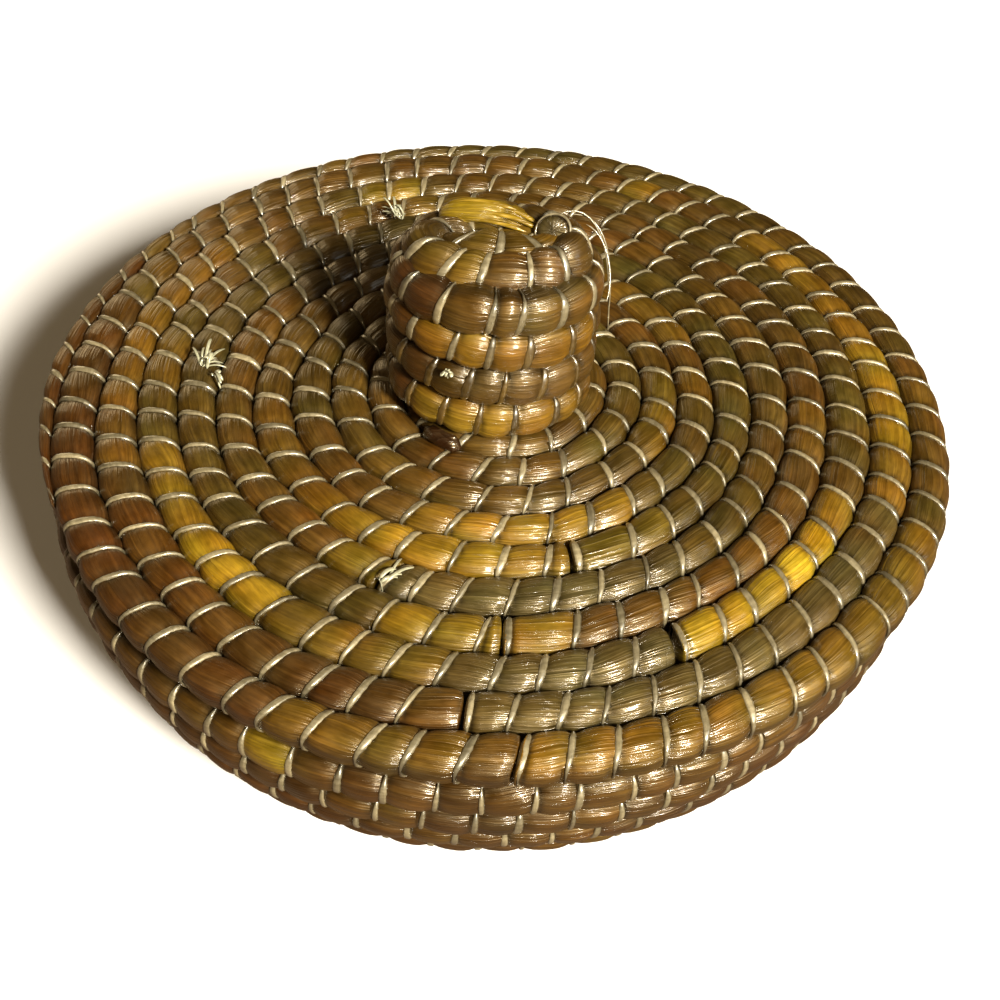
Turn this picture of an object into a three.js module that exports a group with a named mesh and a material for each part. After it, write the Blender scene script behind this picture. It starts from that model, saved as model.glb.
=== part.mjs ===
import * as THREE from 'three';

// A round basket and its lift-off lid, each sewn from one long coil of dry grass.
// Millimetres, +Z up, the front towards -Y, the origin under the middle of the floor.
// A place along a coil is counted in rounds: a whole number is at the front, and
// the coil runs outwards through right, back and left as the number grows.

// The coil
const COIL_THICKNESS = 10.6; // through the wall, from one face to the other
const COIL_GAP = 0.6; // left open between two rounds that lie against each other
const SPLICE_GAP = 0.5; // left open where one length of coil ends and the next starts
const SEAT_GAP = 0.3; // between pieces that rest on each other
const END_WIDTH = 4.6; // left to a disc's or a wall's last round where it is cut off
const TIP_WIDTH = 2.4; // to which that end is trimmed
const TIP_ROUNDS = 0.07; // over which it is trimmed
const CENTRE_HOLE_RADIUS = 1.2; // left in the middle of a disc where the coil starts
const STEPS_PER_ROUND = 24;
const STEPS_NEAR_CENTRE = 12; // in the small first rounds of a disc
const NEAR_CENTRE_RADIUS = 26;
const SIDES = 6;

// The basket
const BASKET_RADIUS = 130; // outer face at the rim
const BASKET_HEIGHT = 64.8; // table to rim
const BASKET_PITCH = 11.6; // from one round to the next
const FLOOR_RADIUS = 80; // where the floor starts to turn up
const FLOOR_TURN = 29; // how gently the floor leaves the table
const WALL_TURN = 36; // how gently the wall comes up to the rim
const RESTING_CUT = 1.1; // depth to which the floor's underside is worn flat
const FLOOR_ROUNDS = 6.5; // rounds before the coil climbs
const FOOT_ROUNDS = 1.4; // where the floor turns up
const LOWER_WALL_ROUNDS = 1.5;
const RIM_ROUNDS = 1.1;

// The lid, a domed disc
const LID_OVERHANG = 2.6; // past the rim's outer face
const LID_DOME = 6.3; // rise of the middle above the rim
const LID_GROOVE = 29.7; // radius of the groove just outside the knob
const LID_PITCH = 10.13; // from that groove to the next
const LID_PITCH_GROWTH = 0.116; // added as the square of the rounds, wider towards the edge
const LID_EDGE_ROUNDS = 0.8; // in the last length of coil
const LID_OUTER_ROUNDS = 1.94; // in the one before it
const LID_MIDDLE_ROUNDS = 3.02; // in the one before that

// The knob, an oval coil of its own, piled up on the lid and turned in over its top
const KNOB_RADIUS = 29.6; // outer face, side to side
const KNOB_FLATTENING = 4.6; // by which it is narrower towards the front and the back
const KNOB_PITCH = 12.4; // height of one round
const KNOB_ROUNDS = 4; // piled up
const KNOB_TOP_ROUNDS = 1.15; // lying on top
const KNOB_START_ROUNDS = 0.3; // over which the coil swells from half its width
const KNOB_TIP_HEIGHT = 2.2; // of the lowest round where it runs out on the lid
const KNOB_SHIFT_X = -2; // hand-sewn, a little to the left and to the front
const KNOB_SHIFT_Y = -2.5;
const START_BUNDLE_LENGTH = 29; // the straight start of the coil, sewn down across the top
const START_BUNDLE_WIDTH = 8.4;
const START_BUNDLE_HEIGHT = 6.2;
const START_BUNDLE_SIDESTEP = -1.5; // to the right of the knob's middle
const START_BUNDLE_INSET = 17; // from the knob's back
const START_BUNDLE_TURN = -5; // degrees

// The coil under the lid that drops inside the rim and keeps the lid in its place
const LOCATING_THICKNESS = 9;
const LOCATING_CLEARANCE = 1.6; // to the inside of the rim

const HALF_THICKNESS = COIL_THICKNESS / 2;
const UPRIGHT = Math.PI / 2;

const colours = {
  olive: 0x5c4a1c,
  brown: 0x6a4319,
  golden: 0x8a6420,
  dark: 0x4b3a18,
  straw: 0xc08a1e,
};

function coilMaterial(colour) {
  return new THREE.MeshStandardMaterial({ color: colour, roughness: 0.38, metalness: 0 });
}

function share(value, from, to) {
  return THREE.MathUtils.clamp((value - from) / (to - from), 0, 1);
}

// A closed tube through rings of points, each ring SIDES points long.
function closedTube(name, rings, colour) {
  const positions = rings.flat(2);
  const faces = [];
  for (let ring = 0; ring < rings.length - 1; ring += 1) {
    for (let side = 0; side < SIDES; side += 1) {
      const next = (side + 1) % SIDES;
      const a = ring * SIDES + side;
      const b = ring * SIDES + next;
      faces.push(a, a + SIDES, b, b, a + SIDES, b + SIDES);
    }
  }
  const last = (rings.length - 1) * SIDES;
  for (let side = 1; side < SIDES - 1; side += 1) {
    faces.push(0, side, side + 1);
    faces.push(last, last + side + 1, last + side);
  }
  const geometry = new THREE.BufferGeometry();
  geometry.setAttribute('position', new THREE.Float32BufferAttribute(positions, 3));
  geometry.setIndex(faces);
  geometry.computeVertexNormals();
  const mesh = new THREE.Mesh(geometry, coilMaterial(colour));
  mesh.name = name;
  return mesh;
}

// The six-sided section of a coil at one place, its corners where it meets its neighbours
// and its flats on the two faces of the wall. Nothing reaches below the table.
function sectionPoints(place, rounds) {
  const angle = rounds * 2 * Math.PI;
  const points = [];
  for (let side = 0; side < SIDES; side += 1) {
    const turn = (side / SIDES) * 2 * Math.PI;
    let along = place.half * Math.cos(turn);
    let through = (place.thick * Math.sin(turn)) / Math.sin(Math.PI / 3);
    const cut = place.cut ?? 0;
    if (through < -cut && cut > 0) {
      along *= 1 + cut / place.thick;
      through += cut;
    }
    const dr = along * place.across.x - through * place.across.y;
    const dz = along * place.across.y + through * place.across.x;
    points.push([
      (place.radius + dr) * Math.sin(angle) + (place.shiftX ?? 0),
      -(place.radius - (place.flattening ?? 0) + dr) * Math.cos(angle) + (place.shiftY ?? 0),
      Math.max(place.height + dz, 0),
    ]);
  }
  return points;
}

// The places of the rings from one end of a length of coil to the other.
function ringRounds(placeAt, from, to) {
  const rounds = [from];
  const least = 0.3 / STEPS_PER_ROUND; // from an end to the ring beside it
  const wide = STEPS_PER_ROUND / STEPS_NEAR_CENTRE;
  const first = Math.floor(from * STEPS_PER_ROUND) + 1;
  for (let step = first; step / STEPS_PER_ROUND < to - least; step += 1) {
    const here = step / STEPS_PER_ROUND;
    const skipped = placeAt(here).nearCentre && step % wide !== 0;
    if (here - from > least && !skipped) rounds.push(here);
  }
  rounds.push(to);
  return rounds;
}

function coil(name, placeAt, from, to, colour) {
  const rounds = ringRounds(placeAt, from, to);
  return closedTube(name, rounds.map((here) => sectionPoints(placeAt(here), here)), colour);
}

// Half of a splice's gap, in rounds, at a place on the coil.
function spliceShare(placeAt, rounds) {
  return SPLICE_GAP / 2 / (2 * Math.PI * placeAt(rounds).radius);
}

// A coil is half as thick where it has hardly any width left.
function thinned(half, pitch) {
  return HALF_THICKNESS * (0.5 + 0.5 * share(half, 0, (pitch - COIL_GAP) / 2));
}

// The band from one groove to the next, pressed inside an edge, and narrowed to the tip
// on the side of the edge over the coil's last stretch.
function pressedBand(low, high, rounds, end) {
  const tip = share(rounds, end - TIP_ROUNDS, end);
  return [low, THREE.MathUtils.lerp(high, Math.min(high, low + TIP_WIDTH + COIL_GAP), tip)];
}

// The wall's middle line in section: flat along the floor, then one curve up to the rim.
const floorHeight = HALF_THICKNESS - RESTING_CUT;
const rimLine = BASKET_RADIUS - HALF_THICKNESS;
const basketLine = new THREE.Path();
basketLine.moveTo(0, floorHeight);
basketLine.lineTo(FLOOR_RADIUS, floorHeight);
basketLine.bezierCurveTo(
  FLOOR_RADIUS + FLOOR_TURN,
  floorHeight,
  rimLine,
  BASKET_HEIGHT - WALL_TURN,
  rimLine,
  BASKET_HEIGHT,
);
const basketLineLength = basketLine.getLength();
const basketStart = -0.5;
const basketEnd = (basketLineLength - END_WIDTH) / BASKET_PITCH;

function basketPlace(rounds) {
  const groove = Math.max(rounds * BASKET_PITCH, CENTRE_HOLE_RADIUS);
  const edge = Math.min((rounds + 1) * BASKET_PITCH, basketLineLength);
  const [low, high] = pressedBand(groove, edge, rounds, basketEnd);
  const middle = (low + high) / 2 / basketLineLength;
  const point = basketLine.getPoint(middle);
  const half = (high - low - COIL_GAP) / 2;
  return {
    radius: point.x,
    height: point.y,
    across: basketLine.getTangent(middle),
    half,
    thick: rounds < FLOOR_ROUNDS ? HALF_THICKNESS : thinned(half, BASKET_PITCH),
    cut: Math.max(RESTING_CUT - (point.y - floorHeight), 0),
    nearCentre: point.x < NEAR_CENTRE_RADIUS,
  };
}

// The middle height of the lid, domed over the rim that it rests on.
const lidSeat = BASKET_HEIGHT - COIL_GAP / 2 + SEAT_GAP + HALF_THICKNESS;

function lidHeight(radius) {
  return lidSeat + LID_DOME * (1 - (radius / rimLine) ** 2);
}

function lidAcross(radius) {
  return new THREE.Vector2(1, (-2 * LID_DOME * radius) / rimLine ** 2).normalize();
}

// The lid's grooves, and the rounds at which a groove has a given radius.
function lidGroove(rounds) {
  return LID_GROOVE + LID_PITCH * rounds + LID_PITCH_GROWTH * rounds * rounds;
}

function lidRounds(radius) {
  const root = Math.sqrt(LID_PITCH ** 2 + 4 * LID_PITCH_GROWTH * (radius - LID_GROOVE));
  return (root - LID_PITCH) / (2 * LID_PITCH_GROWTH);
}

const lidRadius = BASKET_RADIUS + LID_OVERHANG;
const lidStart = lidRounds(0) - 0.5;
const lidEnd = lidRounds(lidRadius - END_WIDTH);
const edgeSplice = lidEnd - LID_EDGE_ROUNDS;
const outerSplice = edgeSplice - LID_OUTER_ROUNDS;
const middleSplice = outerSplice - LID_MIDDLE_ROUNDS;

function lidPlace(rounds) {
  const groove = Math.max(lidGroove(rounds), CENTRE_HOLE_RADIUS);
  const edge = Math.min(lidGroove(rounds + 1), lidRadius);
  const [low, high] = pressedBand(groove, edge, rounds, lidEnd);
  const radius = (low + high) / 2;
  const half = (high - low - COIL_GAP) / 2;
  const thick = thinned(half, lidGroove(rounds + 1) - lidGroove(rounds));
  return {
    radius,
    height: lidHeight(radius),
    across: lidAcross(radius),
    half,
    thick,
    nearCentre: radius < NEAR_CENTRE_RADIUS,
  };
}

// One round under the lid, its flat parallel to the lid's underside.
function locatingPlace() {
  const half = LOCATING_THICKNESS / 2;
  const radius = rimLine - HALF_THICKNESS - LOCATING_CLEARANCE - half;
  const drop = HALF_THICKNESS + SEAT_GAP + half;
  return {
    radius,
    height: lidHeight(radius) - drop,
    across: lidAcross(radius),
    half,
    thick: half,
  };
}

// The knob's coil runs down from its top. Each round up the side lies on the next one, and
// the lowest is pressed against the lid. Over the top each round lies inside the next one.
const knobLine = KNOB_RADIUS - HALF_THICKNESS;
const knobSeat = lidHeight(knobLine - KNOB_FLATTENING) + HALF_THICKNESS + SEAT_GAP;
const knobStart = -KNOB_TOP_ROUNDS;
const knobEnd = KNOB_ROUNDS - (KNOB_TIP_HEIGHT + COIL_GAP) / KNOB_PITCH;

function knobPlace(rounds) {
  if (rounds >= 0) {
    const high = (KNOB_ROUNDS - rounds) * KNOB_PITCH;
    const low = Math.max(high - KNOB_PITCH, 0);
    const half = (high - low - COIL_GAP) / 2;
    return {
      radius: knobLine,
      height: knobSeat + (high + low) / 2,
      across: new THREE.Vector2(0, -1),
      half,
      thick: thinned(half, KNOB_PITCH),
      flattening: KNOB_FLATTENING,
      shiftX: KNOB_SHIFT_X,
      shiftY: KNOB_SHIFT_Y,
    };
  }
  const next = knobPlace(rounds + 1);
  const lean = UPRIGHT * (1 + Math.max(rounds, -1));
  const swell = 0.5 + 0.5 * share(rounds, knobStart, knobStart + KNOB_START_ROUNDS);
  const half = next.half * swell;
  const apart = KNOB_PITCH - next.half + half;
  return {
    ...next,
    radius: next.radius - apart * Math.cos(lean),
    height: next.height + apart * Math.sin(lean),
    across: new THREE.Vector2(Math.cos(lean), -Math.sin(lean)),
    half,
  };
}

// The straight start of the coil, a flattened bundle that narrows to both ends.
function startBundle(colour) {
  const crown = knobPlace(-0.5);
  const height = crown.height + HALF_THICKNESS + SEAT_GAP + START_BUNDLE_HEIGHT / 2;
  const rings = [];
  const steps = 10;
  for (let step = 0; step <= steps; step += 1) {
    const along = step / steps - 0.5;
    const swell = 0.45 + 0.55 * Math.sqrt(1 - (2 * along) ** 4);
    const ring = [];
    for (let side = 0; side < SIDES; side += 1) {
      const turn = (side / SIDES) * 2 * Math.PI;
      const y = (-START_BUNDLE_WIDTH / 2) * swell * Math.cos(turn);
      const z = (START_BUNDLE_HEIGHT / 2) * swell * (Math.sin(turn) / Math.sin(Math.PI / 3));
      ring.push([START_BUNDLE_LENGTH * along, y, z]);
    }
    rings.push(ring);
  }
  const mesh = closedTube('knob_start_bundle', rings, colour);
  const knobBack = KNOB_SHIFT_Y + KNOB_RADIUS - KNOB_FLATTENING;
  mesh.position.set(KNOB_SHIFT_X + START_BUNDLE_SIDESTEP, knobBack - START_BUNDLE_INSET, height);
  mesh.rotation.z = THREE.MathUtils.degToRad(START_BUNDLE_TURN);
  return mesh;
}

// A chain of lengths of one coil, end to end, with a splice gap between them.
function lengths(placeAt, pieces) {
  return pieces.map(([name, from, to, colour], index) => {
    const start = index === 0 ? from : from + spliceShare(placeAt, from);
    const end = index === pieces.length - 1 ? to : to - spliceShare(placeAt, to);
    return coil(name, placeAt, start, end, colour);
  });
}

// The least distance between rounds that lie against each other, measured on points.
function leastGap(placeAt, from, to) {
  let least = Infinity;
  const edge = (rounds) => {
    const points = sectionPoints(placeAt(rounds), rounds).map((p) => new THREE.Vector3(...p));
    return points.flatMap((p, i) => {
      const q = points[(i + 1) % SIDES];
      return [0, 0.25, 0.5, 0.75].map((t) => p.clone().lerp(q, t));
    });
  };
  for (let rounds = from; rounds + 1 <= to; rounds += 1 / STEPS_PER_ROUND) {
    const outer = edge(rounds + 1);
    for (const p of edge(rounds)) for (const q of outer) least = Math.min(least, p.distanceTo(q));
  }
  return least;
}

const footEnd = FLOOR_ROUNDS + FOOT_ROUNDS;
const lowerWallEnd = footEnd + LOWER_WALL_ROUNDS;
const rimStart = basketEnd - RIM_ROUNDS;

const basket = new THREE.Group();
basket.add(
  ...lengths(basketPlace, [
    ['base_coil', basketStart, FLOOR_ROUNDS, colours.olive],
    ['foot_coil', FLOOR_ROUNDS, footEnd, colours.brown],
    ['lower_wall_coil', footEnd, lowerWallEnd, colours.brown],
    ['upper_wall_coil', lowerWallEnd, rimStart, colours.olive],
    ['rim_coil', rimStart, basketEnd, colours.brown],
  ]),
);

const lid = new THREE.Group();
lid.add(
  ...lengths(lidPlace, [
    ['lid_inner_coil', lidStart, middleSplice, colours.olive],
    ['lid_middle_coil', middleSplice, outerSplice, colours.golden],
    ['lid_outer_coil', outerSplice, edgeSplice, colours.olive],
    ['lid_edge_coil', edgeSplice, lidEnd, colours.brown],
  ]),
  coil('locating_coil', locatingPlace, 0, 1 - 2 * spliceShare(locatingPlace, 0), colours.olive),
  ...lengths(knobPlace, [
    ['knob_top_coil', knobStart, 0, colours.dark],
    ['knob_side_coil', 0, knobEnd, colours.golden],
  ]),
  startBundle(colours.straw),
);

const leastGaps = {
  basket: leastGap(basketPlace, basketStart, basketEnd),
  lid: leastGap(lidPlace, lidStart, lidEnd),
  knob: leastGap(knobPlace, knobStart, knobEnd),
};
console.log(`least gap between rounds, mm: ${JSON.stringify(leastGaps)}`);

const coiledBasket = new THREE.Group();
coiledBasket.name = 'coiled_lidded_basket';
coiledBasket.add(basket, lid);

export default coiledBasket;
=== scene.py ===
"""A round basket and its lift-off lid, each sewn from one long coil of dry grass.

Metres, +Z up, the front towards -Y. A place along a coil is counted in rounds: a whole number
is at the front, and the coil runs outwards through right, back and left as the number grows.
Round its section, a turn of 0 faces the next round and a quarter turn faces through the wall.
"""
import math
import bpy
import numpy as np
from mathutils import Matrix, Vector


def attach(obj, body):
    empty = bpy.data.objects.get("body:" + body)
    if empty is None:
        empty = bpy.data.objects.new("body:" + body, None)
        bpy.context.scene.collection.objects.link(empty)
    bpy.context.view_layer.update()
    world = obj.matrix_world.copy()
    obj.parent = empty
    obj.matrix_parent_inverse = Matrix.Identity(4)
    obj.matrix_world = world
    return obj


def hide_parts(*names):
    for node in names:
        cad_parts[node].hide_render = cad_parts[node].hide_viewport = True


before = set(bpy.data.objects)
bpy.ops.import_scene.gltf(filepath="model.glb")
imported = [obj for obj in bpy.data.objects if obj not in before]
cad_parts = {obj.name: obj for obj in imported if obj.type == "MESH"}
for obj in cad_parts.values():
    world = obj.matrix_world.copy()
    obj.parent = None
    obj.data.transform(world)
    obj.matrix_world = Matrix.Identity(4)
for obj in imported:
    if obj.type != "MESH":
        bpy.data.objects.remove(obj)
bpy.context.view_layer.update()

MM = 0.001
TAU = 2 * math.pi

# The coil
COIL_THICKNESS = 10.6 * MM
HALF_THICKNESS = COIL_THICKNESS / 2
COIL_GAP = 0.6 * MM
SEAT_GAP = 0.3 * MM
END_WIDTH = 4.6 * MM
TIP_WIDTH = 2.4 * MM
TIP_ROUNDS = 0.07
TIP_POINT_WIDTH = 1.1 * MM
TIP_POINT_ROUNDS = 0.045
CENTRE_HOLE_RADIUS = 1.2 * MM

# The basket
BASKET_RADIUS = 130 * MM
BASKET_HEIGHT = 64.8 * MM
BASKET_PITCH = 11.6 * MM
FLOOR_RADIUS = 80 * MM
FLOOR_TURN = 29 * MM
WALL_TURN = 36 * MM
RESTING_CUT = 1.1 * MM
FLOOR_ROUNDS = 6.5
FOOT_ROUNDS = 1.4
LOWER_WALL_ROUNDS = 1.5
RIM_ROUNDS = 1.1

# The lid
LID_OVERHANG = 2.6 * MM
LID_DOME = 6.3 * MM
LID_GROOVE = 29.7 * MM
LID_PITCH = 10.13 * MM
LID_PITCH_GROWTH = 0.116 * MM
LID_EDGE_ROUNDS = 0.8
LID_OUTER_ROUNDS = 1.94
LID_MIDDLE_ROUNDS = 3.02

# How a hand strays from the even lid: the height of a wave, how many there are to a round, and
# the radius over which they shift by one radian
GROOVE_WAVES = ((0.6 * MM, 3, 13 * MM), (0.4 * MM, 7, -8 * MM))
HEIGHT_WAVES = ((0.5 * MM, 5, 17 * MM),)

# The knob
KNOB_RADIUS = 29.6 * MM
KNOB_FLATTENING = 4.6 * MM
KNOB_PITCH = 12.4 * MM
KNOB_ROUNDS = 4
KNOB_TIP_HEIGHT = 2.2 * MM
KNOB_SHIFT_X = -2 * MM
KNOB_SHIFT_Y = -2.5 * MM
START_BUNDLE_LENGTH = 30 * MM
START_BUNDLE_WIDTH = 8.4 * MM
START_BUNDLE_HEIGHT = 6.2 * MM
START_BUNDLE_SIDESTEP = -1.5 * MM
START_BUNDLE_INSET = 17 * MM
START_BUNDLE_TURN = math.radians(-11)
START_BUNDLE_RISE = 10.2 * MM
START_BUNDLE_OFFSET = 0.8 * MM  # to the right and to the back
START_BUNDLE_BOW = 1.2 * MM  # from side to side
START_BUNDLE_BEND = 2.4 * MM  # of both ends, downwards
START_BUNDLE_DROOP = 4.5 * MM  # of the right end, further down
START_BUNDLE_TIE = 3.4 * MM  # from its middle to the strip that ties it

# The coil under the lid
LOCATING_THICKNESS = 9 * MM
LOCATING_CLEARANCE = 1.6 * MM
LOCATING_END = 0.9993  # in rounds, which leaves a gap as at a splice

# The photograph's view
CAMERA_AIM = Vector((3.05 * MM, -39.32 * MM, 71.9 * MM))
CAMERA_ELEVATION = math.radians(46.49)
CAMERA_ROLL = math.radians(-3.18)
CAMERA_DISTANCE = 430 * MM
CAMERA_LENS = 55.76
CAMERA_SENSOR = 36

# The studio
LAMP_AIM = Vector((0, 0, 50 * MM))
FLOOR_REACH = 3.0

# The sewing
STITCH_SPACING = 12 * MM
STITCH_STRAY = 1.1 * MM  # along the coil, from its even place
STITCH_WIDTH = 2.1 * MM
STITCH_LEAN = 4.4 * MM  # along the coil, from one side of it to the other
STITCH_LEAN_STRAY = 1 * MM
NEW_RUN_CHANCE = 0.25  # that a cell starts a new run of one tint
BROWN_TINT = 0.6  # where olive has turned to brown, which then turns to golden
SPLICE_STITCH = 1 * MM  # from a splice's gap to its own stitch
SPLICE_CLEARANCE = 5.5 * MM  # from a splice to the ordinary stitches beside it
SPLICE_REACH = 9 * MM  # from a splice to where the lean is the usual one
WAIST_REACH = 1.9 * MM  # from a stitch, how far it draws the bundle in
SHADOW_PLACE = 1.15 * MM  # from a stitch to the dark line beside it
SHADOW_REACH = 0.6 * MM
PROUD_PLACE = 3.0 * MM  # from a splice to where the new bundle stands proud
PROUD_REACH = 1.8 * MM

# The meshes
SAMPLES_PER_ROUND = 720
STEP = 1.2 * MM  # between two rings of a coil
FINE_STEP = 0.3 * MM  # beside a splice
SQUARENESS = 0.80  # power of the section's sine and cosine, 1 where it is round
SHOWN_SIDES = 44
HIDDEN_SIDES = 14
STITCH_STEPS = 20
STITCH_SECTION = ((-0.5, 0.90), (-0.2, 1.0), (0.2, 1.0), (0.5, 0.90))
STRAND_SIDES = 6
STRAND_ROWS = 14
TRIANGLE_LIMIT = 190000  # of one piece
MAP_JUMP = 37.7 * MM  # of the UV map from cell to cell, times the cell's own turn


def share(value, start, end):
    """How far value has come from start to end, from 0 to 1."""
    return np.clip((value - start) / (end - start), 0, 1)


def smooth(value, start, end):
    """The same share, eased at both ends."""
    x = share(value, start, end)
    return x * x * (3 - 2 * x)


def mix(a, b, x):
    """The value x of the way from a to b."""
    return a + (b - a) * x


class Drift:
    """Smooth noise from -1 to 1 over the skin of a coil: random heights on a grid of cells, long
    along the coil and so many around it, that meet in eased steps. Around, it closes on itself."""

    def __init__(self, rng, length, long, columns):
        self.long, self.columns = long, columns
        self.heights = rng.uniform(-1, 1, (int(length / long) + 4, columns))

    def __call__(self, along, turn):
        x = np.clip(along / self.long + 1, 0, len(self.heights) - 2)
        y = turn / TAU * self.columns
        i, j = np.floor(x).astype(int), np.floor(y).astype(int)
        fx, fy = x - i, y - j
        fx, fy = fx * fx * (3 - 2 * fx), fy * fy * (3 - 2 * fy)
        j, k = j % self.columns, (j + 1) % self.columns
        a = mix(self.heights[i, j], self.heights[i + 1, j], fx)
        b = mix(self.heights[i, k], self.heights[i + 1, k], fx)
        return mix(a, b, fy)


def thinned(half, pitch):
    """Half the thickness: full at full width, and falling with the width to half of that."""
    return HALF_THICKNESS * (0.5 + 0.5 * share(half, 0, (pitch - COIL_GAP) / 2))


def pressed_band(low, high, rounds, end):
    """The band from groove to groove, narrowed to the tip over the coil's last stretch."""
    tip = share(rounds, end - TIP_ROUNDS, end)
    high = mix(high, np.minimum(high, low + TIP_WIDTH + COIL_GAP), tip)
    point = smooth(rounds, end - TIP_POINT_ROUNDS, end + 0.01)
    return low, mix(high, low + TIP_POINT_WIDTH, point)


# The wall's middle line in section: flat along the floor, then one curve up to the rim.
FLOOR_HEIGHT = HALF_THICKNESS - RESTING_CUT
RIM_LINE = BASKET_RADIUS - HALF_THICKNESS


def wall_section():
    """Points of the wall's middle line with their length along it. The curve is a cubic from the
    floor's edge to the rim, drawn out level at its foot and upright at its top."""
    t = np.linspace(0, 1, 400)
    corners = np.array([
        [FLOOR_RADIUS, FLOOR_HEIGHT],
        [FLOOR_RADIUS + FLOOR_TURN, FLOOR_HEIGHT],
        [RIM_LINE, BASKET_HEIGHT - WALL_TURN],
        [RIM_LINE, BASKET_HEIGHT],
    ])
    weights = np.array([(1 - t) ** 3, 3 * t * (1 - t) ** 2, 3 * t * t * (1 - t), t ** 3])
    points = np.vstack([[[0, FLOOR_HEIGHT]], weights.T @ corners])
    lengths = np.concatenate([[0], np.cumsum(np.linalg.norm(np.diff(points, axis=0), axis=1))])
    return points, lengths


WALL_POINTS, WALL_LENGTHS = wall_section()
WALL_LENGTH = WALL_LENGTHS[-1]
BASKET_START = -0.5
BASKET_END = (WALL_LENGTH - END_WIDTH) / BASKET_PITCH


def section_place(rounds, radius, height, lean, half, thick, **more):
    """A coil's place as one dictionary of arrays. lean is the angle above level at which the
    next round lies outwards."""
    return {"rounds": rounds, "radius": radius, "height": height, "lean": lean,
            "half": half, "thick": thick, "flattening": 0.0, "shift": (0.0, 0.0), **more}


def basket_line(rounds):
    """The band of a round is one pitch of the wall's middle line, and its middle is the coil's."""
    low = np.maximum(rounds * BASKET_PITCH, CENTRE_HOLE_RADIUS)
    high = np.minimum((rounds + 1) * BASKET_PITCH, WALL_LENGTH)
    low, high = pressed_band(low, high, rounds, BASKET_END)
    middle = (low + high) / 2
    radius = np.interp(middle, WALL_LENGTHS, WALL_POINTS[:, 0])
    height = np.interp(middle, WALL_LENGTHS, WALL_POINTS[:, 1])
    step = 1 * MM
    rise = np.interp(middle + step, WALL_LENGTHS, WALL_POINTS[:, 1]) - np.interp(
        middle - step, WALL_LENGTHS, WALL_POINTS[:, 1])
    run = np.interp(middle + step, WALL_LENGTHS, WALL_POINTS[:, 0]) - np.interp(
        middle - step, WALL_LENGTHS, WALL_POINTS[:, 0])
    half = (high - low - COIL_GAP) / 2
    thick = np.where(rounds < FLOOR_ROUNDS, HALF_THICKNESS, thinned(half, BASKET_PITCH))
    return section_place(rounds, radius, height, np.arctan2(rise, run), half, thick)


LID_SEAT = BASKET_HEIGHT - COIL_GAP / 2 + SEAT_GAP + HALF_THICKNESS


def lid_height(radius):
    """The middle height of the lid, domed as the square of the radius."""
    return LID_SEAT + LID_DOME * (1 - (radius / RIM_LINE) ** 2)


def lid_lean(radius):
    """The angle of the dome's slope."""
    return np.arctan(-2 * LID_DOME * radius / RIM_LINE ** 2)


def lid_groove(rounds):
    """The radius at which a round starts. Each round is wider than the one inside it, so the
    radius grows with the rounds and with their square."""
    return LID_GROOVE + LID_PITCH * rounds + LID_PITCH_GROWTH * rounds * rounds


def lid_rounds(radius):
    """The round that starts at a radius, by the root of the same quadratic."""
    root = np.sqrt(LID_PITCH ** 2 + 4 * LID_PITCH_GROWTH * (radius - LID_GROOVE))
    return (root - LID_PITCH) / (2 * LID_PITCH_GROWTH)


LID_RADIUS = BASKET_RADIUS + LID_OVERHANG
LID_START = lid_rounds(0) - 0.5
LID_END = lid_rounds(LID_RADIUS - END_WIDTH)
EDGE_SPLICE = LID_END - LID_EDGE_ROUNDS
OUTER_SPLICE = EDGE_SPLICE - LID_OUTER_ROUNDS
MIDDLE_SPLICE = OUTER_SPLICE - LID_MIDDLE_ROUNDS


def waves(rounds, radius, sizes):
    """The sum of sines around the lid that also shift with the radius."""
    return sum(height * np.sin(count * rounds * TAU + radius / shift)
               for height, count, shift in sizes)


def strayed(rounds, radius):
    """A groove's radius as a hand sews it: slow waves around it, which die out towards the
    middle and the edge. Both rounds beside the groove follow it."""
    inside = share(radius, 25 * MM, 60 * MM) * share(LID_RADIUS - radius, 0, 15 * MM)
    return radius + inside * waves(rounds, radius, GROOVE_WAVES)


def lid_line(rounds):
    """The band of a round runs from its groove to the next one, pressed inside the edge."""
    low = np.maximum(strayed(rounds, lid_groove(rounds)), CENTRE_HOLE_RADIUS)
    high = np.minimum(strayed(rounds, lid_groove(rounds + 1)), LID_RADIUS)
    low, high = pressed_band(low, high, rounds, LID_END)
    radius = (low + high) / 2
    half = (high - low - COIL_GAP) / 2
    thick = thinned(half, lid_groove(rounds + 1) - lid_groove(rounds))
    inside = share(LID_RADIUS - radius, 12 * MM, 30 * MM)
    height = lid_height(radius) + inside * waves(rounds, radius, HEIGHT_WAVES)
    return section_place(rounds, radius, height, lid_lean(radius), half, thick)


def locating_line(rounds):
    """One level round under the lid, just inside the rim."""
    half = np.full_like(rounds, LOCATING_THICKNESS / 2)
    radius = RIM_LINE - HALF_THICKNESS - LOCATING_CLEARANCE - half
    height = lid_height(radius) - HALF_THICKNESS - SEAT_GAP - half
    return section_place(rounds, radius, height, lid_lean(radius), half, half)


KNOB_LINE = KNOB_RADIUS - HALF_THICKNESS
KNOB_SEAT = lid_height(KNOB_LINE - KNOB_FLATTENING) + HALF_THICKNESS + SEAT_GAP
KNOB_START = -2.5
KNOB_END = KNOB_ROUNDS - (KNOB_TIP_HEIGHT + COIL_GAP) / KNOB_PITCH
KNOB_CROWN = KNOB_SEAT + (KNOB_ROUNDS - 0.5) * KNOB_PITCH

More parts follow.
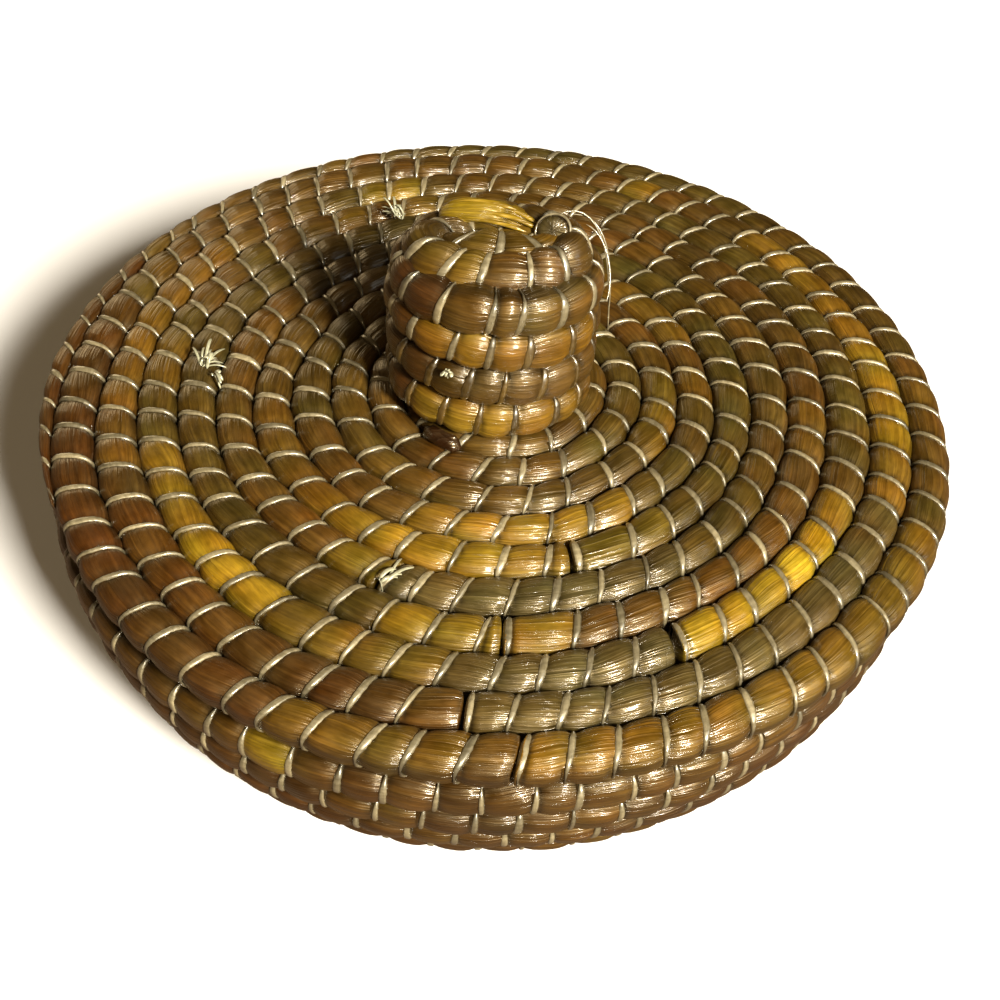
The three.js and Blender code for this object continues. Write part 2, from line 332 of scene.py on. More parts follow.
# Over the knob's top, where each quarter round lies: half its round's width from side to side,
# by how much less from front to back, and its height above the top of the pile
KNOB_TOP = np.array([
    (-2.50, 9.0, 7.0, 2.0),
    (-2.25, 10.5, 8.0, 4.0),
    (-2.00, 11.5, 8.0, 6.4),
    (-1.75, 13.5, 8.0, 5.0),
    (-1.50, 15.5, 7.5, 3.0),
    (-1.25, 19.0, 8.6, 4.8),
    (-1.00, 20.2, 9.8, 4.2),
    (-0.75, 20.6, 8.4, 5.4),
    (-0.50, 20.8, 6.6, 3.0),
    (-0.25, 22.4, 5.4, -1.2),
    (0.00, 24.3, 4.6, 0.0),
])


def knob_middle(rounds):
    """Radius, flattening and height of the knob's line, and half its width. Down the side each
    round hangs one pitch below the last, and the lowest is pressed on the lid. The rounds over
    the top are an oval, drawn together from front to back around the straight start of the coil:
    a cubic from row to row of the table, with the slope at a row that its two neighbours give."""
    high = (KNOB_ROUNDS - np.maximum(rounds, 0)) * KNOB_PITCH
    low = np.maximum(high - KNOB_PITCH, 0)
    half = (high - low - COIL_GAP) / 2
    quarter = np.clip((rounds - KNOB_TOP[0, 0]) * 4, 0, len(KNOB_TOP) - 1.001)
    index = quarter.astype(int)
    part = quarter - index
    around = [KNOB_TOP[np.clip(index + i, 0, len(KNOB_TOP) - 1), 1:] * MM for i in (-1, 0, 1, 2)]
    part = part[..., None]
    top = ((-0.5 * part + part ** 2 - 0.5 * part ** 3) * around[0]
           + (1 - 2.5 * part ** 2 + 1.5 * part ** 3) * around[1]
           + (0.5 * part + 2 * part ** 2 - 1.5 * part ** 3) * around[2]
           + (-0.5 * part ** 2 + 0.5 * part ** 3) * around[3])
    over = rounds < 0
    radius = np.where(over, top[..., 0], KNOB_LINE)
    flattening = np.where(over, top[..., 1], KNOB_FLATTENING)
    height = np.where(over, KNOB_CROWN + top[..., 2], KNOB_SEAT + (high + low) / 2)
    return radius, flattening, height, half


def knob_line(rounds):
    """The knob's coil. Its section turns towards the next round, and it swells from its start."""
    radius, flattening, height, half = knob_middle(rounds)
    next_radius, next_flattening, next_height, _ = knob_middle(rounds + 1)
    outwards = (next_radius - radius
                - (next_flattening - flattening) * np.cos(rounds * TAU) ** 2)
    lean = np.where(rounds < 0, np.arctan2(next_height - height, outwards), -TAU / 4)
    half = half * (0.70 + 0.30 * share(rounds, KNOB_START, KNOB_START + 0.4))
    thick = thinned(half, KNOB_PITCH) * (1 + 0.10 * smooth(-np.abs(rounds + 0.05), -0.5, -0.1))
    return section_place(rounds, radius, height, lean, half, thick, flattening=flattening,
                         shift=(KNOB_SHIFT_X, KNOB_SHIFT_Y))


def section_point(place, along, through):
    """Points that lie along and through the wall from the coil's middle. Both ways are turned by
    the lean, and the place is then turned round the object by the angle of its round."""
    across, up = np.cos(place["lean"]), np.sin(place["lean"])
    dr = along * across - through * up
    dz = along * up + through * across
    angle = place["rounds"] * TAU
    x = (place["radius"] + dr) * np.sin(angle) + place["shift"][0]
    y = -(place["radius"] - place["flattening"] + dr) * np.cos(angle) + place["shift"][1]
    return np.stack([x, y, place["height"] + dz], axis=-1)


# Colours of the lacquered grass, from the darkest bundles to the brightest straw. Where the
# stretches lay the dark and red ones on the sides away from the key lamp and under the lid,
# they are partly painted shade.
TONES = {
    "dark": np.array([0.016, 0.0072, 0.0018]),
    "olive": np.array([0.050, 0.034, 0.0050]),
    "grey": np.array([0.060, 0.046, 0.015]),
    "brown": np.array([0.062, 0.030, 0.0045]),
    "red": np.array([0.040, 0.0115, 0.0024]),
    "golden": np.array([0.150, 0.085, 0.0055]),
    "straw": np.array([0.250, 0.166, 0.0080]),
}
PALE = np.array([0.228, 0.186, 0.104])
FRAYED = np.array([0.34, 0.33, 0.22])


class Coil:
    """One sewn coil: its line in rounds, its length along, its stitches, and the cells of grass
    between them. Cells follow each other in runs that share a tint, as a bundle of leaf does. A
    splice has a gap and one stitch of its own beside it, and both have the splice's slant."""

    def __init__(self, line, start, end, seed, spacing=STITCH_SPACING, lean=STITCH_LEAN,
                 splices=(), joins=(), warmth=0.0, shade=1.0, stretches=()):
        self.line = line
        self.start, self.end = start, end
        self.rounds = np.linspace(start, end, int((end - start) * SAMPLES_PER_ROUND) + 2)
        middle = section_point(line(self.rounds), 0, 0)
        steps = np.linalg.norm(np.diff(middle, axis=0), axis=1)
        self.lengths = np.concatenate([[0], np.cumsum(steps)])
        self.gaps = [(float(self.length_at(splice)), width * MM, slant * MM)
                     for splice, width, slant in splices]
        rng = np.random.default_rng(seed)
        join_lengths = self.length_at(np.array(joins))
        self.sew(rng, spacing, join_lengths)
        self.lean_stitches(rng, lean, join_lengths)
        self.colour_cells(rng, warmth, shade, stretches)
        total, cells = self.lengths[-1], len(self.stitches) + 1
        self.turned = rng.uniform(0, TAU, cells)
        self.slopes = rng.normal(0, 0.06, cells)
        self.fades = rng.uniform(-1, 1, cells - 1)
        self.strands = Drift(rng, total, 22 * MM, 26)
        self.folds = Drift(rng, total, 12 * MM, 8)
        self.lumps = Drift(rng, total, 9 * MM, 4)

    def sew(self, rng, spacing, joins):
        """Places of the stitches: even ones that stray a little, one over each join, and at each
        splice an unsewn one in the gap and a sewn one beside it in place of the usual ones."""
        total = self.lengths[-1]
        count = int(total / spacing)
        even = (np.arange(count) + 0.5) * total / count
        stitches = even + rng.uniform(-STITCH_STRAY, STITCH_STRAY, count)
        for join in joins:
            stitches[np.argmin(np.abs(stitches - join))] = join
        starts = [at for at, _, _ in self.gaps]
        besides = [at + width / 2 + SPLICE_STITCH for at, width, _ in self.gaps]
        for at in starts:
            stitches = stitches[np.abs(stitches - at - SPLICE_STITCH) > SPLICE_CLEARANCE]
        sewn = np.repeat([True, False, True], [len(stitches), len(starts), len(besides)])
        stitches = np.concatenate([stitches, starts, besides])
        self.sewn = sewn[np.argsort(stitches)]
        self.stitches = np.sort(stitches)

    def lean_stitches(self, rng, lean, joins):
        """How far each stitch leans, how wide and how pale it is. The lean between the stitches
        follows straight lines from knot to knot, as (length, lean)."""
        count = len(self.stitches)
        self.leans = lean + rng.uniform(-STITCH_LEAN_STRAY, STITCH_LEAN_STRAY, count)
        knots = [(0.0, lean)]
        for at, width, slant in self.gaps:
            beside = at + width / 2 + SPLICE_STITCH
            self.leans[np.argmin(np.abs(self.stitches - beside))] = slant
            knots += [(at - SPLICE_REACH, lean), (at, slant), (beside, slant),
                      (beside + SPLICE_REACH, lean)]
        for join in joins:
            self.leans[np.argmin(np.abs(self.stitches - join))] = lean
        self.knots = np.array(knots).T
        self.widths = STITCH_WIDTH * rng.uniform(0.7, 1.3, count)
        self.pales = rng.uniform(0, 1, count)

    def colour_cells(self, rng, warmth, shade, stretches):
        """The tone of each cell: from olive through brown to golden as its tint grows, then drawn
        towards the tone of each stretch that it lies in, and made lighter or darker."""
        cells = len(self.stitches) + 1
        run = np.cumsum(rng.uniform(0, 1, cells) < NEW_RUN_CHANCE)
        tint = rng.uniform(0, 1, cells)[run] + rng.uniform(-0.12, 0.12, cells)
        tint = np.clip(tint * 0.8 + warmth - 0.05, 0, 1)[:, None]
        self.tones = np.where(
            tint < BROWN_TINT,
            mix(TONES["olive"], TONES["brown"], tint / BROWN_TINT),
            mix(TONES["brown"], TONES["golden"], (tint - BROWN_TINT) / (1 - BROWN_TINT)))
        ends = np.concatenate([[0], self.stitches, [self.lengths[-1]]])
        middles = self.rounds_at((ends[:-1] + ends[1:]) / 2)
        for first, last, tone, strength in stretches:
            inside = (middles > first) & (middles < last)
            strength = strength * rng.uniform(0.75, 1.0, cells)[:, None]
            self.tones = np.where(inside[:, None], mix(self.tones, TONES[tone], strength),
                                  self.tones)
        shades = 0.6 * rng.uniform(-1, 1, cells)[run] + 0.4 * rng.uniform(-1, 1, cells)
        self.tones = self.tones * (shade * (1 + 0.22 * shades))[:, None]

    def length_at(self, rounds):
        """The length along the coil at a number of rounds."""
        return np.interp(rounds, self.rounds, self.lengths)

    def rounds_at(self, length):
        """The number of rounds at a length along the coil."""
        return np.interp(length, self.lengths, self.rounds)

    def slant_at(self, length):
        """How far the stitches lean: as sewn, but along the gap beside a splice."""
        return np.interp(length, *self.knots)

    def skewed(self, length, turn):
        """The length at which the stitch through a point crosses the middle of the coil."""
        return length + self.slant_at(length) / 2 * np.cos(turn)

    def gap_cut(self, length, turn):
        """How deep a point lies in the gap of a splice, from 0 to 1, and its distance past the
        gap. A gap has its own slant, and opens wide at the inner side of the coil."""
        deepest = np.zeros_like(length)
        past = np.full_like(length, 1.0)
        for at, width, slant in self.gaps:
            distance = length + slant / 2 * np.cos(turn) - at
            wide = width * (0.50 + 0.55 * smooth(-np.cos(turn), 0.2, 1.0))
            deepest = np.maximum(deepest, np.exp(-(distance / wide) ** 4))
            past = np.where(np.abs(distance) < 12 * MM, distance, past)
        return deepest, past

    def cell(self, length, turn):
        """The cell between two stitches that a point lies in, how far it is from the nearest
        stitch, and how far across the cell, from 0 to 1, measured along the stitches' lean."""
        skewed = self.skewed(length, turn)
        index = np.searchsorted(self.stitches, skewed)
        ends = np.concatenate([[self.stitches[0] - STITCH_SPACING], self.stitches,
                               [self.stitches[-1] + STITCH_SPACING]])
        before, after = ends[index], ends[index + 1]
        near = np.minimum(skewed - before, after - skewed)
        return index, near, share(skewed, before, after)


def grid_faces(rows, columns):
    """Quads of a grid that closes on itself across its columns."""
    i, j = np.meshgrid(np.arange(rows - 1), np.arange(columns), indexing="ij")
    k = (j + 1) % columns
    quads = np.stack([i * columns + j, i * columns + k, (i + 1) * columns + k,
                      (i + 1) * columns + j], axis=-1)
    return quads.reshape(-1, 4)


def end_caps(rows, sides):
    """The first and the last ring of such a grid, as two faces."""
    return [np.arange(sides)[::-1], np.arange(sides) + (rows - 1) * sides]


def placed(name, data):
    """A new object in the scene."""
    made = bpy.data.objects.new(name, data)
    bpy.context.scene.collection.objects.link(made)
    return made


def make_object(name, points, quads, caps, uv, colours, material):
    """A mesh from whole arrays: points, quads and end caps, with a UV map and point colours."""
    mesh = bpy.data.meshes.new(name)
    sizes = [4] * len(quads) + [len(cap) for cap in caps]
    corners = np.concatenate([quads.ravel(), *[np.asarray(cap) for cap in caps]]).astype(np.int32)
    starts = np.concatenate([[0], np.cumsum(sizes)[:-1]]).astype(np.int32)
    mesh.vertices.add(len(points))
    mesh.vertices.foreach_set("co", np.asarray(points, np.float32).ravel())
    mesh.loops.add(len(corners))
    mesh.loops.foreach_set("vertex_index", corners)
    mesh.polygons.add(len(sizes))
    mesh.polygons.foreach_set("loop_start", starts)
    mesh.polygons.foreach_set("use_smooth", np.arange(len(sizes)) < len(quads))
    mesh.update(calc_edges=True)
    full = np.zeros((len(corners), 2), np.float32)
    full[:len(uv)] = uv
    mesh.uv_layers.new(name="along").data.foreach_set("uv", full.ravel())
    rgba = np.ones((len(points), 4), np.float32)
    rgba[:, :3] = colours
    tones = mesh.color_attributes.new("tone", "FLOAT_COLOR", "POINT")
    tones.data.foreach_set("color", rgba.ravel())
    mesh.validate()
    mesh.materials.append(material)
    return placed(name, mesh)


def coil_colours(coil, length, turn):
    """The tone of each cell, with painted shade and light laid into it. It darkens with the sixth
    power of the cosine of the turn, where the coil dips between the rounds, by a bell curve beside
    each stitch, deeper just after it, and to nearly black in the gap of a splice: painted shade in
    the grooves, creases and gaps. It grows lighter across each cell towards the next stitch:
    painted light, as on a lit bulging cell. Noise moves its lightness, and its red against its
    blue."""
    index, near, across = coil.cell(length, turn)
    lumps = coil.lumps(length, turn)
    # Painted light: each cell is lighter towards the next stitch along the coil
    shade = 1 + 0.20 * coil.folds(length, turn) + 0.16 * lumps + 0.16 * (across - 0.5)
    stain = 0.5 * coil.folds(length + 5 * MM, turn + 2) + 0.5 * coil.lumps(length, turn + 3)
    # Painted shade where the coil dips between the rounds
    painted_groove_shade = 1 - 0.62 * np.abs(np.cos(turn)) ** 6
    # Painted shade in the crease beside each stitch, deeper just after it
    after = np.where(across < 0.5, 0.72, 0.40)
    beside = 1 - after * np.exp(-((near - SHADOW_PLACE) / SHADOW_REACH) ** 2)
    shade = shade * painted_groove_shade * beside
    # Painted shade: nearly black in the gap of a splice
    shade = shade * (1 - 0.96 * coil.gap_cut(length, turn)[0])
    hue = np.stack([1 + 0.15 * stain, 1 - 0.09 * stain, 1 - 0.35 * stain], axis=-1)
    return coil.tones[index] * hue * shade[..., None]


def coil_surface(coil, length, turn):
    """How far the bundle swells, as a factor near 1: by half a sine between two stitches, less a
    bell curve at each, and by blades, the root of a noise's size, which leaves sharp creases
    between them. It is cut in at a splice, where the start of the new bundle stands proud."""
    index, near, across = coil.cell(length, turn)
    own = turn + coil.turned[index] + coil.slopes[index] * length / HALF_THICKNESS
    blades = 1.5 * np.sqrt(np.abs(coil.strands(length, own))) - 0.9
    bulge = np.sin(np.pi * across ** 1.35)
    swell = (0.98 + 0.085 * bulge - 0.095 * np.exp(-(near / WAIST_REACH) ** 2)
             + 0.026 * blades + 0.018 * coil.folds(length, own) + 0.018 * coil.lumps(length, turn))
    cut, past = coil.gap_cut(length, turn)
    return swell - 0.50 * cut + 0.04 * np.exp(-((past - PROUD_PLACE) / PROUD_REACH) ** 2)


def squared(value):
    """A sine or cosine drawn out so that the round section it makes is slightly square, as the
    rounds press on each other."""
    return np.sign(value) * np.abs(value) ** SQUARENESS


def turns(shown):
    """Turns around the section, close together on the half that shows and wide on the other."""
    middle = {"through": TAU / 4, "back": -TAU / 4}[shown]
    front = middle + np.linspace(-TAU / 4, TAU / 4, SHOWN_SIDES + 1)
    back = middle + TAU / 2 + np.linspace(-TAU / 4, TAU / 4, HIDDEN_SIDES + 1)
    return np.concatenate([front[:-1], back[:-1]])


def coil_map(coil, length, turn, quads):
    """The UV map: the length along the coil, and the turn as a length round it, both moved on by
    a jump from cell to cell, so that no two cells look alike. The last column of quads closes the
    section, so its far side lies one whole turn further on."""
    rows, sides = length.shape
    index = coil.cell(length, turn)[0]
    jump = MAP_JUMP * coil.turned[index]
    wander = 0.4 * MM * coil.folds(length, np.zeros_like(turn))
    u = (length + jump).reshape(-1)
    v = turn * HALF_THICKNESS + jump + wander + coil.slopes[index] * length
    wrapped = v + TAU * HALF_THICKNESS * (np.arange(sides) == 0)
    corners = quads.reshape(rows - 1, sides, 4)
    uv = np.stack([u[corners], v.reshape(-1)[corners]], axis=-1)
    uv[:, -1, 1:3, 1] = wrapped.reshape(-1)[corners[:, -1, 1:3]]
    return uv.reshape(-1, 2)


def coil_piece(coil, name, start, end, body, material, shown):
    """A length of coil: rings of points one step apart, and closer at a splice, each a rounded
    section whose corners reach the neighbouring rounds, closed at both ends. Its points lie half
    a width along the wall times the cosine of the turn, and half a thickness through it times
    the sine. Its end rings lean as the stitches do, so that a stitch covers the joint."""
    first, last = coil.length_at(start), coil.length_at(end)
    turn = turns(shown)
    sides = len(turn)
    rows = min(int((last - first) / STEP) + 2, TRIANGLE_LIMIT // (2 * sides) - 100)
    length = np.linspace(first, last, rows)
    for at, _, _ in coil.gaps:
        close = at + np.arange(-5 * MM, 6 * MM, FINE_STEP)
        length = np.concatenate([length, close[(close > first) & (close < last)]])
    length = np.sort(length)
    rows = len(length)
    length, turn = np.meshgrid(length, turn, indexing="ij")
    beside_end = 1 - share(np.minimum(length - first, last - length), 0, 12 * MM)
    length = length - beside_end * coil.slant_at(length) / 2 * np.cos(turn)
    length = np.clip(length, 0, coil.lengths[-1])
    swell = coil_surface(coil, length, turn)
    for end_length, is_tip in ((first, start == coil.start), (last, end == coil.end)):
        if is_tip:
            swell = swell * (0.55 + 0.45 * np.sqrt(share(np.abs(length - end_length), 0, 4 * MM)))
    place = coil.line(coil.rounds_at(length))
    along = (place["half"] + COIL_GAP / 2) * squared(np.cos(turn)) * swell
    through = place["thick"] * squared(np.sin(turn)) * swell
    points = section_point(place, along, through)
    points[..., 2] = np.maximum(points[..., 2], 0)
    quads = grid_faces(rows, sides)
    colours = coil_colours(coil, length, turn)
    piece = make_object(name, points.reshape(-1, 3), quads, end_caps(rows, sides),
                        coil_map(coil, length, turn, quads), colours.reshape(-1, 3), material)
    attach(piece, body)
    return piece


def stitch_piece(coil, name, start, end, body, material, tone):
    """The stitches of a length of coil. Each is a flat strip laid once round the bundle, narrow
    where it dives between the rounds, with its edges pressed into the grass. It leans by half its
    lean times the cosine of the turn. tone gives the colour at a number of rounds."""
    first, last = coil.length_at(start), coil.length_at(end)
    inside = (coil.stitches > first - 0.1 * MM) & (coil.stitches < last - 0.1 * MM) & coil.sewn
    middle, lean = coil.stitches[inside], coil.leans[inside]
    width, pale = coil.widths[inside], coil.pales[inside]
    count = len(middle)
    turn = np.linspace(0, TAU, STITCH_STEPS, endpoint=False)[None, :]
    length = middle[:, None] - lean[:, None] / 2 * np.cos(turn)
    wide = width[:, None] * (0.22 + 0.90 * np.abs(np.sin(turn)))
    rings = []
    for side, rise in STITCH_SECTION:
        moved = coil.line(coil.rounds_at(length + side * wide))
        half = moved["half"] + COIL_GAP / 2
        rings.append(section_point(moved, half * squared(np.cos(turn)) * rise,
                                   moved["thick"] * squared(np.sin(turn)) * rise))
    points = np.stack(rings, axis=2)
    points[..., 2] = np.maximum(points[..., 2], 0.05 * MM)
    corner = np.arange(4)
    step = np.arange(STITCH_STEPS)
    a, b = np.meshgrid(step, corner, indexing="ij")
    after, beside = (a + 1) % STITCH_STEPS, (b + 1) % 4
    quads = np.stack([a * 4 + b, a * 4 + beside, after * 4 + beside, after * 4 + b], axis=-1)
    quads = quads.reshape(-1, 4)[:, ::-1]
    quads = quads[None] + (np.arange(count) * STITCH_STEPS * 4)[:, None, None]
    # Painted shade: each strip is darker where it dives between the rounds; at random it is also
    # darker towards one end
    crown = 0.25 + 0.80 * np.abs(np.sin(turn))
    fade = coil.fades[inside][:, None]
    crown = crown * (1 - 0.20 * np.abs(fade) * (1 + np.sign(fade) * np.cos(turn)))
    tones = tone(coil.rounds_at(middle), pale)[:, None, :] * crown[..., None]
    colours = np.repeat(tones.reshape(-1, 3), 4, axis=0)
    u = np.broadcast_to(turn[..., None] * HALF_THICKNESS + middle[:, None, None],
                        (count, STITCH_STEPS, 4))
    v = np.broadcast_to(corner * STITCH_WIDTH / 3 + middle[:, None, None],
                        (count, STITCH_STEPS, 4))
    flat = np.stack([u, v], -1).reshape(-1, 2)
    piece = make_object(name, points.reshape(-1, 3), quads.reshape(-1, 4), (),
                        flat[quads.reshape(-1)], colours, material)
    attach(piece, body)
    return piece


def pale_tone(rounds, pale):
    """Cream strips, some of them stained by the lacquer."""
    return PALE * (0.50 + 0.60 * pale)[:, None]


def knob_tone(rounds, pale):
    """Cream on the knob's top round, and as brown as the grass below it."""
    low = smooth(rounds, 0.9, 1.1)[:, None]
    stained = mix(TONES["brown"], TONES["golden"], 0.45) * (0.35 + 0.5 * pale)[:, None]
    return mix(pale_tone(rounds, pale), stained, low)


def node(tree, kind, **values):
    """A new node of a material, with its settings."""
    made = tree.nodes.new(kind)
    for key, value in values.items():
        setattr(made, key, value)
    return made


def set_sockets(made, values):
    """The fixed numbers and colours on a node's sockets."""
    for name, value in values.items():
        made.inputs[name].default_value = value


def noise(tree, uv, along, around, detail):
    """Noise over the UV map, with so many cells a metre along and around the bundle."""
    scale = node(tree, "ShaderNodeMapping")
    set_sockets(scale, {"Scale": (along, around, 1)})
    made = node(tree, "ShaderNodeTexNoise", noise_dimensions="2D")
    set_sockets(made, {"Scale": 1, "Detail": detail, "Roughness": 0.55})
    tree.links.new(uv.outputs["UV"], scale.inputs["Vector"])
    tree.links.new(scale.outputs["Vector"], made.inputs["Vector"])
    return made.outputs["Fac"]


def spread(tree, value, low, high):
    """A noise, which mostly lies from 0.3 to 0.7, spread to the range from low to high."""
    made = node(tree, "ShaderNodeMapRange")
    set_sockets(made, {"From Min": 0.3, "From Max": 0.7, "To Min": low, "To Max": high})
    tree.links.new(value, made.inputs["Value"])
    return made.outputs["Result"]


def combine(tree, kind, a, b):
    """Two values, or a value and a number, put together by one operation."""
    made = node(tree, "ShaderNodeMath", operation=kind)
    tree.links.new(a, made.inputs[0])
    if isinstance(b, float):
        made.inputs[1].default_value = b
    else:
        tree.links.new(b, made.inputs[1])
    return made.outputs["Value"]


def grass_material(name, coat, roughness, relief, contrast, fine=1100, along=16, shine=0.62,
                   coat_roughness=0.2, shine_tint=(1.0, 0.84, 0.54, 1),
                   coat_tint=(1.0, 0.90, 0.68, 1)):
    """Lacquered grass. Fine and broad noise, drawn out along the bundle, set the piece's own tones
    lighter and darker, the darker streaks redder. The creases where the noise crosses its middle
    are cut into the surface, and the coat follows them."""
    material = bpy.data.materials.new(name)
    material.use_nodes = True
    tree = material.node_tree
    link = tree.links.new
    shader = tree.nodes["Principled BSDF"]
    set_sockets(shader, {"Coat Weight": coat, "Coat Roughness": coat_roughness,
                         "Coat Tint": coat_tint, "Specular Tint": shine_tint,
                         "Specular IOR Level": shine, "IOR": 1.6})
    uv = node(tree, "ShaderNodeUVMap", uv_map="along")
    tone = node(tree, "ShaderNodeAttribute", attribute_name="tone")
    blades = noise(tree, uv, along, fine, 3)
    patches = noise(tree, uv, along * 7, fine / 4, 2)
    specks = noise(tree, uv, along * 26, fine * 1.6, 1)
    light = combine(tree, "MULTIPLY", spread(tree, blades, 1 - contrast, 1 + contrast * 1.1),
                    spread(tree, patches, 0.84, 1.18))
    light = combine(tree, "MULTIPLY", light, spread(tree, specks, 0.9, 1.12))
    colour = node(tree, "ShaderNodeVectorMath", operation="SCALE")
    link(tone.outputs["Color"], colour.inputs[0])
    link(light, colour.inputs["Scale"])
    deep = node(tree, "ShaderNodeGamma")
    link(colour.outputs["Vector"], deep.inputs["Color"])
    link(spread(tree, blades, 1.06, 0.96), deep.inputs["Gamma"])
    link(deep.outputs["Color"], shader.inputs["Base Color"])
    link(spread(tree, patches, roughness - 0.08, roughness + 0.16), shader.inputs["Roughness"])
    creases = combine(tree, "ABSOLUTE", combine(tree, "SUBTRACT", blades, 0.5), 0.0)
    creases = combine(tree, "POWER", creases, 0.6)
    height = combine(tree, "ADD", creases, combine(tree, "MULTIPLY", patches, 0.5))
    bump = node(tree, "ShaderNodeBump")
    set_sockets(bump, {"Strength": 1.0, "Distance": relief})
    link(height, bump.inputs["Height"])
    link(bump.outputs["Normal"], shader.inputs["Normal"])
    link(bump.outputs["Normal"], shader.inputs["Coat Normal"])
    return material


def start_bundle(material):
    """The straight start of the knob's coil: a flattened bundle that swells as the square root
    of what the fourth power of the way from its middle leaves of 1. Both ends bend down by the
    cube of that way, and its width and height go by the cosine and the sine of the turn."""
    rows, sides = 90, 48
    turn = np.linspace(0, TAU, sides, endpoint=False)
    along, turn = np.meshgrid(np.linspace(-0.5, 0.5, rows), turn, indexing="ij")
    swell = 0.30 + 0.70 * np.maximum(1 - (2 * along) ** 4, 0) ** 0.5
    rng = np.random.default_rng(31)
    length = along * START_BUNDLE_LENGTH
    blades = Drift(rng, START_BUNDLE_LENGTH, 14 * MM, 16)(length + START_BUNDLE_LENGTH / 2, turn)
    lumps = Drift(rng, START_BUNDLE_LENGTH, 6 * MM, 5)(length + START_BUNDLE_LENGTH / 2, turn)
    swell = swell * (1 + 0.20 * (1.5 * np.sqrt(np.abs(blades)) - 0.9) + 0.12 * lumps)
    tied = np.exp(-((length - START_BUNDLE_TIE) / MM) ** 2)
    swell = swell * (1 - 0.12 * tied)
    y = START_BUNDLE_WIDTH / 2 * swell * np.cos(turn) + START_BUNDLE_BOW * np.sin(along * 5)
    z = (START_BUNDLE_HEIGHT / 2 * swell * np.sin(turn)
         - START_BUNDLE_BEND * (2 * np.abs(along)) ** 3
         - START_BUNDLE_DROOP * share(along, -0.1, 0.5) ** 1.5)
    points = np.stack([length, y, z], axis=-1).reshape(-1, 3)
    turned = np.array(Matrix.Rotation(START_BUNDLE_TURN, 3, "Z"))
    points = points @ turned.T + np.array([
        KNOB_SHIFT_X + START_BUNDLE_SIDESTEP + START_BUNDLE_OFFSET,
        KNOB_SHIFT_Y + KNOB_RADIUS - KNOB_FLATTENING - START_BUNDLE_INSET + START_BUNDLE_OFFSET,
        KNOB_CROWN + START_BUNDLE_RISE])
    quads = grid_faces(rows, sides)[:, ::-1]
    caps = [cap[::-1] for cap in end_caps(rows, sides)]
    uv_of_point = np.stack([length, turn * HALF_THICKNESS], -1).reshape(-1, 2)
    bright = np.clip(0.95 - 1.2 * smooth(along, 0.0, 0.45) + 0.4 * blades, 0, 1)
    tones = mix(TONES["golden"], TONES["straw"], bright[..., None])
    # Painted shade on the underside, where the bundle lies on the coils; it is also darker in a
    # narrow band at the tie
    tones = tones * (0.80 - 0.36 * tied - 0.35 * smooth(-np.sin(turn), 0.0, 0.8))[..., None]
    piece = make_object("knob_straw_bundle", points, quads, caps,
                        uv_of_point[quads.reshape(-1)], tones.reshape(-1, 3), material)
    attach(piece, "lid")
    return piece


def strand(path, width, thick):
    """Points and quads of a thin strand along a path, of an oval section: half its width times
    the cosine of the turn, level, and half its thickness times the sine, upright to the path. It
    narrows by the root of what the sixth power of the way from its middle leaves of 1."""
    path = np.asarray(path, float)
    ahead = np.gradient(path, axis=0)
    ahead /= np.linalg.norm(ahead, axis=1)[:, None]
    level = np.cross(ahead, [0.0, 0.0, 1.0]) + 1e-9
    level /= np.linalg.norm(level, axis=1)[:, None]
    upright = np.cross(level, ahead)
    x = np.linspace(-1, 1, len(path))
    taper = np.sqrt(np.maximum(1 - x ** 6, 0.04))[:, None, None]
    turn = np.linspace(0, TAU, STRAND_SIDES, endpoint=False)
    across = width / 2 * np.cos(turn)[None, :, None] * level[:, None]
    over = thick / 2 * np.sin(turn)[None, :, None] * upright[:, None]
    rings = path[:, None] + taper * (across + over)
    return rings.reshape(-1, 3), grid_faces(len(path), STRAND_SIDES)


def bend(corners):
    """A smooth path from the first corner to the last, drawn towards those between them. The
    corners are in mm, and each has the weight of its term when the sum of the way gone and the
    way left, which is 1, is raised to the curve's order and multiplied out."""
    corners = np.asarray(corners, float) * MM
    t = np.linspace(0, 1, STRAND_ROWS)[:, None]
    order = len(corners) - 1
    return sum(math.comb(order, i) * t ** i * (1 - t) ** (order - i) * corner
               for i, corner in enumerate(corners))


def strands_piece(name, strands, tone, body, material):
    """Several strands as one piece. Each is (corners in mm, width in mm, thickness in mm)."""
    all_points, all_quads, count = [], [], 0
    for corners, width, thick in strands:
        points, quads = strand(bend(corners), width * MM, thick * MM)
        all_points.append(points)
        all_quads.append(quads + count)
        count += len(points)
    points, quads = np.concatenate(all_points), np.concatenate(all_quads)
    flat = np.stack([points[:, 0] + points[:, 2], points[:, 1]], -1)
    piece = make_object(name, points, quads, (), flat[quads.reshape(-1)],
                        np.broadcast_to(tone, (count, 3)), material)
    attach(piece, body)


